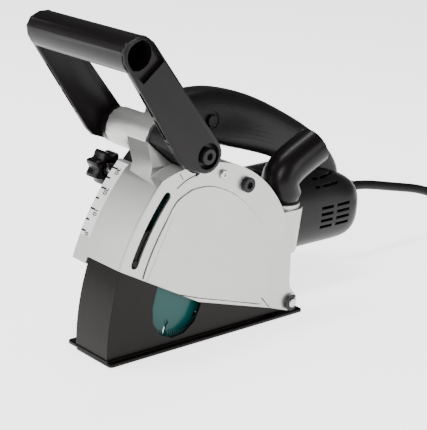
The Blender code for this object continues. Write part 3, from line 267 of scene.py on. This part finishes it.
FINISHES = {
    "cast_silver": procedural("cast_silver", (0.40, 0.40, 0.385), 0.36, 0.8, 900, 0.16, vary=0.06),
    "gear_case": procedural("gear_case", (0.008, 0.008, 0.009), 0.42, 0.2, 900, 0.22, shine=0.16),
    "black_paint": procedural("black_paint", (0.0035, 0.0026, 0.0022), 0.30, 0.0, 700, 0.10, shine=0.10),
    "steel": procedural("steel", (0.45, 0.45, 0.45), 0.26, 1.0, 1500, 0.10, (1, 12, 1)),
    "dark_steel": procedural("dark_steel", (0.010, 0.010, 0.011), 0.30, 0.3, 1200, 0.12, shine=0.2),
    "copper": procedural("copper", (0.72, 0.33, 0.18), 0.30, 1.0, 1200, 0.10, (8, 1, 1)),
    "carbon": procedural("carbon", (0.03, 0.03, 0.03), 0.80, 0.0, 1500, 0.30),
    "housing_grey": procedural("housing_grey", (0.0060, 0.0052, 0.0058), 0.38, 0.0, 1700, 0.30, shine=0.14),
    "black_plastic": procedural(
        "black_plastic", (0.0042, 0.0032, 0.0035), 0.30, 0.0, 1500, 0.20, shine=0.14
    ),
    "rubber": procedural("rubber", (0.0048, 0.0045, 0.0048), 0.55, 0.0, 1300, 0.30, shine=0.12),
    "blade_teal": procedural("blade_teal", (0.0, 0.046, 0.043), 0.22, 0.0, 500, 0.05, shine=0.2),
    "scale_white": procedural("scale_white", (0.62, 0.62, 0.61), 0.45, 0.0, 900, 0.04, vary=0.02),
    # Ink for the scale's print and the arrow, also painted shade in the dark lines at the foot of the
    # cover's raised panel
    "ink_and_painted_shade": procedural("ink_and_painted_shade", (0.008, 0.008, 0.008), 0.6, 0.0, 900, 0.05, shine=0.2),
    # Painted shade along the cover panel's crease: darker and less metallic than the cast silver
    "crease_painted_shade_grey": procedural("crease_painted_shade_grey", (0.26, 0.26, 0.25), 0.45, 0.6, 900, 0.05),
    "rim_grit": procedural("rim_grit", (0.015, 0.055, 0.050), 0.55, 0.1, 1800, 0.9, vary=0.3),
}


def dress(thing, finish, owner, *nodes):
    """Gives a piece its finish, the body it moves with, and the CAD nodes that it stands for."""
    thing.data.materials.clear()
    thing.data.materials.append(FINISHES[finish])
    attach(thing, owner)
    if nodes:
        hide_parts(*nodes)
    return thing


BODY_OF = {
    node: owner
    for owner, members in frame["record"]["behaviour"]["bodies"].items()
    for node in members
}
FINISH_OF = {part["node"]: part["material_slot"] for part in frame["record"]["subparts"]}


def refined(name, width=0.35):
    """A copy of a CAD node, its flat faces merged and its edges rounded a little."""
    mesh = frame["nodes"][name].data.copy()
    for extra in ("custom_normal", "sharp_edge", "sharp_face"):
        if extra in mesh.attributes:
            mesh.attributes.remove(mesh.attributes[extra])
    shape = bmesh.new()
    shape.from_mesh(mesh)
    bmesh.ops.remove_doubles(shape, verts=shape.verts, dist=2e-6)
    bmesh.ops.dissolve_limit(shape, angle_limit=radians(0.6), verts=shape.verts, edges=shape.edges)
    shape.to_mesh(mesh)
    shape.free()
    thing = bpy.data.objects.new(f"{name}_look", mesh)
    bpy.context.scene.collection.objects.link(thing)
    soften(thing)
    if width:
        bevel(thing, width)
    return dress(thing, FINISH_OF[name], BODY_OF[name], name)


# ---------------------------------------------------------------- camera, lights, floor


def build_camera():
    """The camera, from its place, the way that it looks and its tilt."""
    azimuth, elevation, roll = (radians(a) for a in (VIEW_AZIMUTH, VIEW_ELEVATION, VIEW_ROLL))
    back = Vector((sin(azimuth) * cos(elevation), -cos(azimuth) * cos(elevation), sin(elevation)))
    right = Vector((cos(azimuth), sin(azimuth), 0))
    up = back.cross(right)
    across = right * cos(roll) + up * sin(roll)
    above = up * cos(roll) - right * sin(roll)
    turn = Matrix((across, above, back)).transposed().to_4x4()
    data = bpy.data.cameras.new("camera")
    data.lens = LENS_MM
    camera = bpy.data.objects.new("camera", data)
    bpy.context.scene.collection.objects.link(camera)
    camera.matrix_world = Matrix.Translation(Vector(EYE) * MM) @ turn
    bpy.context.scene.camera = camera


def area_light(name, place_m, aim_m, size, power):
    data = bpy.data.lights.new(name, "AREA")
    data.shape = "RECTANGLE"
    data.size, data.size_y = size
    data.energy = power
    light = bpy.data.objects.new(name, data)
    bpy.context.scene.collection.objects.link(light)
    toward = Vector(aim_m) - Vector(place_m)
    light.rotation_euler = toward.to_track_quat("-Z", "Y").to_euler()
    light.location = place_m


def build_stage():
    floor = mesh_object("floor", box((-6000, 6000), (-6000, 6000), (-20, -0.2)))
    material = procedural("floor", (0.92, 0.92, 0.92), 0.55, 0.0, 40, 0.0, vary=0.01)
    shader = material.node_tree.nodes["Principled BSDF"]
    shader.inputs["Emission Color"].default_value = (1, 1, 1, 1)
    shader.inputs["Emission Strength"].default_value = FLOOR_GLOW
    floor.data.materials.append(material)
    world = bpy.data.worlds.new("studio")
    bpy.context.scene.world = world
    world.use_nodes = True
    sky = world.node_tree.nodes["Background"]
    sky.inputs["Color"].default_value = (0.97, 0.98, 1.0, 1)
    sky.inputs["Strength"].default_value = SKY_STRENGTH
    aim = (-0.05, 0.02, 0.12)
    area_light("key", (-1.5, -1.0, 1.1), aim, (0.5, 0.9), 22)
    area_light("front", (-1.6, 0.9, 0.8), aim, (1.0, 1.2), 26)
    area_light("side", (0.5, -1.8, 0.7), aim, (0.8, 1.0), 16)
    area_light("top", (0.0, 0.4, 1.7), aim, (1.4, 0.25), 22)


# ---------------------------------------------------------------- cord


def cord_line():
    """Down from the boot to the floor, round the coil in two layers, and out to the plug."""
    spots = ((CORD_EXIT[0], CORD_EXIT[2]),) + CORD_DROP
    line = smooth_open([(x, MOTOR_Y, z) for x, z in spots], 3)
    line = line[: next(i for i, p in enumerate(line) if p.x > 376)]
    dip = 1.5  # how far the climb from the lower layer to the upper one leans inward
    turns = []
    start = COIL_INNER_R + TURNS_BELOW * TURN_GAP
    for i in range(TURNS_BELOW * POINTS_PER_TURN + 1):
        turns.append((start - TURN_GAP * i / POINTS_PER_TURN, LAYER_LOW, i / POINTS_PER_TURN))
    for i in range(1, CLIMB_POINTS + 1):
        rise = (1 - cos(pi * i / CLIMB_POINTS)) / 2
        radius = COIL_INNER_R - dip * sin(pi * i / (2 * CLIMB_POINTS))
        z = LAYER_LOW + (LAYER_HIGH - LAYER_LOW) * rise
        turns.append((radius, z, TURNS_BELOW + i / POINTS_PER_TURN))
    ended = TURNS_BELOW + CLIMB_POINTS / POINTS_PER_TURN
    for i in range(1, int(TURNS_ABOVE * POINTS_PER_TURN)):
        radius = COIL_INNER_R - dip + TURN_GAP * i / POINTS_PER_TURN
        turns.append((radius, LAYER_HIGH, ended + i / POINTS_PER_TURN))
    for radius, z, turn in turns:
        a = pi / 2 - tau * turn
        line.append(Vector((COIL_CENTRE[0] + radius * cos(a), COIL_CENTRE[1] + radius * sin(a), z)))
    return line


def lead_out(line):
    """From the end of the top layer, round and down to the rear of the plug."""
    last, before = line[-1], line[-2]
    heading = (last - before).normalized()
    target = Vector(PLUG_REAR)
    reach = (target - last).length
    a, b = last + heading * reach * 0.45, target + Vector((reach * 0.5, 0, 0))
    steps = 18
    path = []
    for i in range(1, steps + 1):
        t = i / steps
        u = 1 - t
        path.append(u**3 * last + 3 * u**2 * t * a + 3 * u * t**2 * b + t**3 * target)
    return path


def build_cord():
    line = cord_line()
    line += lead_out(line)
    curve = bpy.data.curves.new("cord_look", "CURVE")
    curve.dimensions = "3D"
    spline = curve.splines.new("POLY")
    spline.points.add(len(line) - 1)
    for spot, p in zip(spline.points, line):
        spot.co = (*(p * MM), 1)
    curve.bevel_depth = CORD_D / 2
    curve.bevel_resolution = 4
    curve.use_fill_caps = True
    cord = bpy.data.objects.new("cord_look", curve)
    bpy.context.scene.collection.objects.link(cord)
    dress(cord, "rubber", "tool", "power_cord", "cord_coil")
    plug = refined("cord_plug", 0.6)


def build_boot():
    """The cord's strain relief: a tapered sleeve with rings cut into it."""
    profile = [(4.7, 128.0), (9.5, 128.0), (9.5, 131.0), (7.1, 131.0), (7.1, 138.5)]
    for i in range(6):
        x, r = 139.0 + i * 3.2, 7.0 - i * 0.26
        profile += [(r, x), (r, x + 1.7), (r - 0.9, x + 2.0), (r - 0.9, x + 2.9)]
    profile += [(5.5, 158.6), (5.2, 159.7), (4.7, 159.7)]
    boot = soften(mesh_object("boot_look", turned(profile, "X", (0, MOTOR_Y, CORD_EXIT[2]), 32)))
    dress(boot, "rubber", "tool", "cord_guard")


# ---------------------------------------------------------------- rear handle shells

GRIP_HALF, SHELL_WALL = 17.0, 2.8
BARREL_R, BARREL_REAR = 36.3, 70.3
BOOT_Z, BOOT_HOLE_R = 68.0, 7.4
BUTTON_AT, BUTTON_HOLE_R, BUTTON_RECESS_R, BUTTON_RECESS_Y = (-42.0, 160.0), 5.6, 8.2, 43.9
MOUTH = ((-83.0, 152.2), (-83.0, 141.0), (-68.0, 126.0), (-55.0, 115.0), (-34.0, 124.0), (-35.4, 152.2))
MOUTH_HALF = 6.6
# Pairs of points in XZ, outside and inside of the bend, from the front foot to the tail
GRIP_SECTIONS = (
    ((-119.0, 100.4), (-66.0, 100.4)), ((-121.0, 112.0), (-64.5, 109.0)),
    ((-119.0, 125.0), (-62.5, 118.0)), ((-109.0, 137.0), (-60.0, 126.0)),
    ((-94.6, 148.0), (-57.0, 132.5)), ((-93.8, 162.0), (-51.5, 137.0)),
    ((-91.0, 175.5), (-45.0, 139.4)), ((-76.0, 182.4), (-40.0, 139.0)),
    ((-56.0, 185.3), (-34.0, 137.4)), ((-34.0, 185.0), (-25.0, 134.8)),
    ((-9.0, 180.0), (-10.0, 130.4)), ((18.0, 171.0), (8.0, 125.4)),
    ((52.0, 155.0), (32.0, 118.0)), ((85.0, 136.5), (55.0, 109.0)),
    ((110.0, 116.0), (73.0, 98.0)), ((124.0, 98.0), (86.0, 86.0)),
    ((126.0, 84.0), (96.0, 76.0)),
)
# Distance back, half width, lowest and highest point of each section
REAR_SECTIONS = (
    (30.0, 38.1, 26.9, 103.1), (69.0, 38.3, 26.9, 103.8), (86.0, 38.6, 27.0, 104.0),
    (106.0, 38.2, 27.2, 98.0), (121.0, 37.2, 28.2, 92.0), (130.0, 34.0, 31.5, 88.0),
    (137.0, 28.0, 38.0, 84.0), (140.0, 20.0, 46.0, 80.0),
)
# Distance back to either end, lowest slot, pitch, height and number of slots in each bank
VENT_BANKS = (
    ((78.4, 93.9), 49.6, 6.05, 2.8, 4), ((98.6, 116.0), 49.6, 6.05, 2.8, 4),
    ((72.0, 78.0), 87.5, 6.6, 2.4, 2), ((81.0, 104.0), 87.5, 6.6, 2.4, 2),
)


def grip_rings(shrink, fine=3, power=3.0, steps=40):
    """Rounded sections of the rear handle, each set across one pair of points."""
    outer = smooth_open([a for a, _ in GRIP_SECTIONS], fine)
    inner = smooth_open([b for _, b in GRIP_SECTIONS], fine)
    rings = []
    for top, low in zip(outer, inner):
        centre, across = (top + low) / 2, (top - low).normalized()
        tall, wide = (top - low).length / 2 - shrink, GRIP_HALF - shrink
        row = []
        for k in range(steps):
            c, s = cos(tau * k / steps), sin(tau * k / steps)
            r = 1 / (abs(c) ** power + abs(s) ** power) ** (1 / power)
            spot = centre + across * (tall * r * s)
            row.append((spot.x, MOTOR_Y + wide * r * c, spot.y))
        rings.append(row)
    return rings


def rear_rings(shrink, power=2.7, steps=56):
    """Rounded-square sections of the rear cover, drawn in towards its tail."""
    rings = []
    for x, wide, low, high in smooth_open(REAR_SECTIONS, 3):
        middle, tall, half = (low + high) / 2, (high - low) / 2 - shrink, wide - shrink
        row = []
        for k in range(steps):
            c, s = cos(tau * k / steps), sin(tau * k / steps)
            r = 1 / (abs(c) ** power + abs(s) ** power) ** (1 / power)
            row.append((x - shrink, MOTOR_Y + half * r * c, middle + tall * r * s))
        rings.append(row)
    return rings


def vents():
    """The banks of cooling slots, through both sides of the rear cover."""
    shapes = []
    for ends, lowest, pitch, tall, count in VENT_BANKS:
        for i in range(count):
            z = lowest + pitch * i
            shapes.append(box(ends, (0, 120), (z, z + tall)))
    return many(*shapes)


def plug_along(axis, radius, low, high, centre, steps):
    """A solid cylinder, for cutting a round hole."""
    return turned([(0, low), (radius, low), (radius, high), (0, high)], axis, centre, steps)


def build_shells():
    """The arched handle and rear cover, joined, hollowed and pierced, then split down the middle."""
    button = (BUTTON_AT[0], 0, BUTTON_AT[1])
    whole = mesh_object("shell", loft(grip_rings(0)))
    boolean(whole, loft(rear_rings(0)), "UNION")
    cuts = (
        loft(grip_rings(SHELL_WALL)[2:-2]),
        loft(rear_rings(SHELL_WALL)),
        plug_along("X", BARREL_R, -130, BARREL_REAR, (0, MOTOR_Y, MOTOR_Z), 72),
        vents(),
        plug_along("X", BOOT_HOLE_R, 115, 150, (0, MOTOR_Y, BOOT_Z), 32),
        prism(MOUTH, MOTOR_Y - MOUTH_HALF, MOTOR_Y + MOUTH_HALF),
        plug_along("Y", BUTTON_HOLE_R, 20, 50, button, 32),
        plug_along("Y", BUTTON_RECESS_R, 40, BUTTON_RECESS_Y, button, 40),
    )
    for shape in cuts:
        boolean(whole, shape, "DIFFERENCE")
    for name, y in (("handle_shell_near", (-400, MOTOR_Y)), ("handle_shell_far", (MOTOR_Y + 0.3, 400))):
        half = whole.copy()
        half.data = whole.data.copy()
        half.name = f"{name}_look"
        bpy.context.scene.collection.objects.link(half)
        boolean(half, box((-400, 400), y, (-400, 400)), "INTERSECT")
        soften(half)
        dress(half, "housing_grey", "tool", name)
    bpy.data.objects.remove(whole)


# ---------------------------------------------------------------- hero details


def label_spot(angle, y, lift=0.0):
    x, z = polar(PIN, LABEL_R + lift, angle)
    return Vector((x, y, z))


def build_scale():
    """Black ticks each 5 mm of depth, and a number at each 10, on the white strip."""
    refined("scale_plate", 0.1)
    step = (FULL_ANGLE - ZERO_ANGLE) / 6
    bars = []
    for i in range(7):
        angle, reach = ZERO_ANGLE + step * i, 5.6 if i % 2 == 0 else 4.4
        low, high = angle - 0.22, angle + 0.22
        outline = arc(PIN, LABEL_R + 0.06, low, high, 2) + arc(PIN, LABEL_R - 0.3, high, low, 2)
        bars.append(prism(outline, 37.0 - reach, 37.0))
    ticks = mesh_object("scale_ticks", many(*bars))
    dress(ticks, "ink_and_painted_shade", "tool")
    for i, text in ((0, "0"), (2, "10"), (4, "20"), (6, "30")):
        angle = ZERO_ANGLE + step * i - 0.55
        radial = label_spot(angle, 0, 1) - label_spot(angle, 0)
        down = label_spot(angle - 1, 0) - label_spot(angle, 0)
        letters = bpy.data.curves.new("digits", "FONT")
        letters.body = text
        letters.size = 6.0 * MM
        letters.offset = 0.12 * MM
        letters.extrude = 0.04 * MM
        letters.align_x = "CENTER"
        letters.align_y = "CENTER"
        digits = bpy.data.objects.new(f"scale_digits_{text}", letters)
        bpy.context.scene.collection.objects.link(digits)
        x, z = down.normalized(), radial.normalized()
        turn = Matrix((x, z.cross(x), z)).transposed().to_4x4()
        digits.matrix_world = Matrix.Translation(label_spot(angle, 29.6, 0.08) * MM) @ turn
        letters.materials.append(FINISHES["ink_and_painted_shade"])
        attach(digits, "tool")


def build_blades():
    """Each disc in its lacquer, with rough segments of grit round its rim."""
    for name, y in (("blade_near", -12.7), ("blade_far", 12.7)):
        refined(name, 0.15)
        ribs = []
        for s in range(10):
            for k in range(14):
                a = tau * (s + 0.08 + 0.84 * k / 13) / 10
                lean = 0.05
                corners = []
                for radius, turn in ((54.5, 0), (62.2, lean), (62.2, lean + 0.022), (54.5, 0.022)):
                    x, z = radius * cos(a + turn), radius * sin(a + turn)
                    corners.append((SPINDLE[0] + x, SPINDLE[1] + z))
                ribs.append(prism(corners, y - 1.15, y + 1.15))
        grit = mesh_object(f"{name}_rim", many(*ribs))
        dress(grit, "rim_grit", "spindle")


def strip(outline, half, low, high):
    """A thin raised line along an open outline in XZ."""
    left, right = [], []
    for i, p in enumerate(outline):
        before, after = Vector(outline[max(i - 1, 0)]), Vector(outline[min(i + 1, len(outline) - 1)])
        side = (after - before).normalized()
        side = Vector((-side.y, side.x)) * half
        left.append((p[0] + side.x, p[1] + side.y))
        right.append((p[0] - side.x, p[1] - side.y))
    return prism(left + right[::-1], low, high)


# The cover's drawn lines, in XZ: painted shade at the panel's foot and along its crease, and the arrow
PANEL_TOP = ((-140.8, 108.9), (-132.7, 121.0), (-122.0, 127.0), (-113.5, 129.3), (-95.2, 128.3),
             (-67.7, 115.5), (-41.9, 90.1), (-29.4, 64.7), (-26.0, 48.0), (-25.0, 30.0), (-24.3, 12.0))
PANEL_LIP = ((-131.0, 46.9), (-104.4, 37.4), (-70.1, 27.5), (-36.0, 17.1), (-34.4, 22.6), (-24.3, 12.0))
ARROW = ((-132.5, 132.3), (-124.8, 136.8), (-117.8, 139.3), (-112.5, 140.6))
CREASE = ((-158.8, 62.7), (-149.7, 81.9), (-134.0, 113.4))


def smooth_line(points, steps=4):
    """A smooth open line, as plain pairs."""
    return [tuple(p) for p in smooth_open(points, steps)]


def build_cover_details():
    """Painted shade as dark lines at the foot of the cover's raised panel and along its crease, and the
    arrow for the turning way.
    """
    edge = arc(PIN, 171.3, 18.4, 33.6, 10) + smooth_line(PANEL_TOP)
    face, back, proud = COVER_FACE - 0.12, COVER_FACE + 0.1, COVER_FACE - 0.2
    # Painted shade: dark strips where the raised panel's step meets the cover
    lip = [strip(pair, 0.35, face, back) for pair in zip(PANEL_LIP, PANEL_LIP[1:])]
    lines = many(strip(edge, 0.28, face, back), *lip)
    dress(mesh_object("panel_foot_painted_shade", lines), "ink_and_painted_shade", "tool")
    # Painted shade: a darker grey line along the panel's crease
    fold = strip(smooth_line(CREASE), 0.22, COVER_FACE - 0.96, COVER_FACE - 0.8)
    crease = mesh_object("panel_crease_painted_shade", fold)
    dress(crease, "crease_painted_shade_grey", "tool")
    head = prism([(-110.0, 141.0), (-114.7, 143.0), (-113.9, 138.7)], proud, back)
    tick = strip([(-129.9, 143.6), (-126.7, 138.4)], 0.3, proud, back)
    mark = mesh_object("turning_arrow", many(strip(smooth_line(ARROW), 0.4, proud, back), head, tick))
    dress(mark, "ink_and_painted_shade", "tool")


# Lines pressed into the near side of the rear handle: a panel round the button, and the ribbed grip
BUTTON_PANEL = ((-51.9, 173.7), (-27.3, 171.4), (-21.5, 161.9), (-19.0, 146.6), (-25.5, 139.6))
GRIP_LINES = (
    ((-17.9, 154.7), (10.0, 149.6), (36.1, 143.2)), ((-17.5, 150.5), (10.0, 145.0), (34.8, 137.4)),
    ((-17.2, 146.4), (10.0, 141.2), (33.2, 133.8)), ((-16.0, 142.8), (8.0, 138.2), (31.6, 130.3)),
    ((-17.3, 168.9), (8.0, 162.6), (33.1, 154.1), (52.0, 140.5)),
)


def surface_strip(tree, outline, half):
    """A thin line that lies on the surface seen from the near side."""
    rings = []
    for i, p in enumerate(outline):
        before, after = outline[max(i - 1, 0)], outline[min(i + 1, len(outline) - 1)]
        along = (Vector(after) - Vector(before)).normalized()
        side = Vector((-along.y, along.x)) * half
        row = []
        for x, z in (Vector(p) + side, Vector(p) - side):
            hit = tree.ray_cast(Vector((x * MM, -0.1, z * MM)), Vector((0, 1, 0)))[0]
            row.append((x, hit.y / MM, z))
        (x0, y0, z0), (x1, y1, z1) = row
        rings.append([(x0, y0 - 0.06, z0), (x1, y1 - 0.06, z1), (x1, y1 + 0.4, z1), (x0, y0 + 0.4, z0)])
    return loft(rings)


def build_grip_lines():
    """The lines pressed into the near side of the rear handle."""
    shell = bpy.data.objects["handle_shell_near_look"]
    tree = BVHTree.FromObject(shell, bpy.context.evaluated_depsgraph_get())
    lines = [surface_strip(tree, smooth_line(line, 8), 0.3) for line in GRIP_LINES + (BUTTON_PANEL,)]
    dress(mesh_object("grip_lines", many(*lines)), "ink_and_painted_shade", "tool")


build_camera()
build_cord()
build_boot()
build_stage()
build_shells()
build_scale()
build_blades()
build_cover_details()
build_grip_lines()

WIDTHS = {"front_handle": 0.9, "depth_knob": 0.5, "base_sole": 0.0, "case_body": 0.4, "case_cover": 0.8}
DONE = {"power_cord", "cord_coil", "cord_plug", "cord_guard", "handle_shell_near", "handle_shell_far"}
DONE |= {"scale_plate", "blade_near", "blade_far"}
for node in sorted(set(frame["nodes"]) - DONE):
    refined(node, WIDTHS.get(node, 0.25))
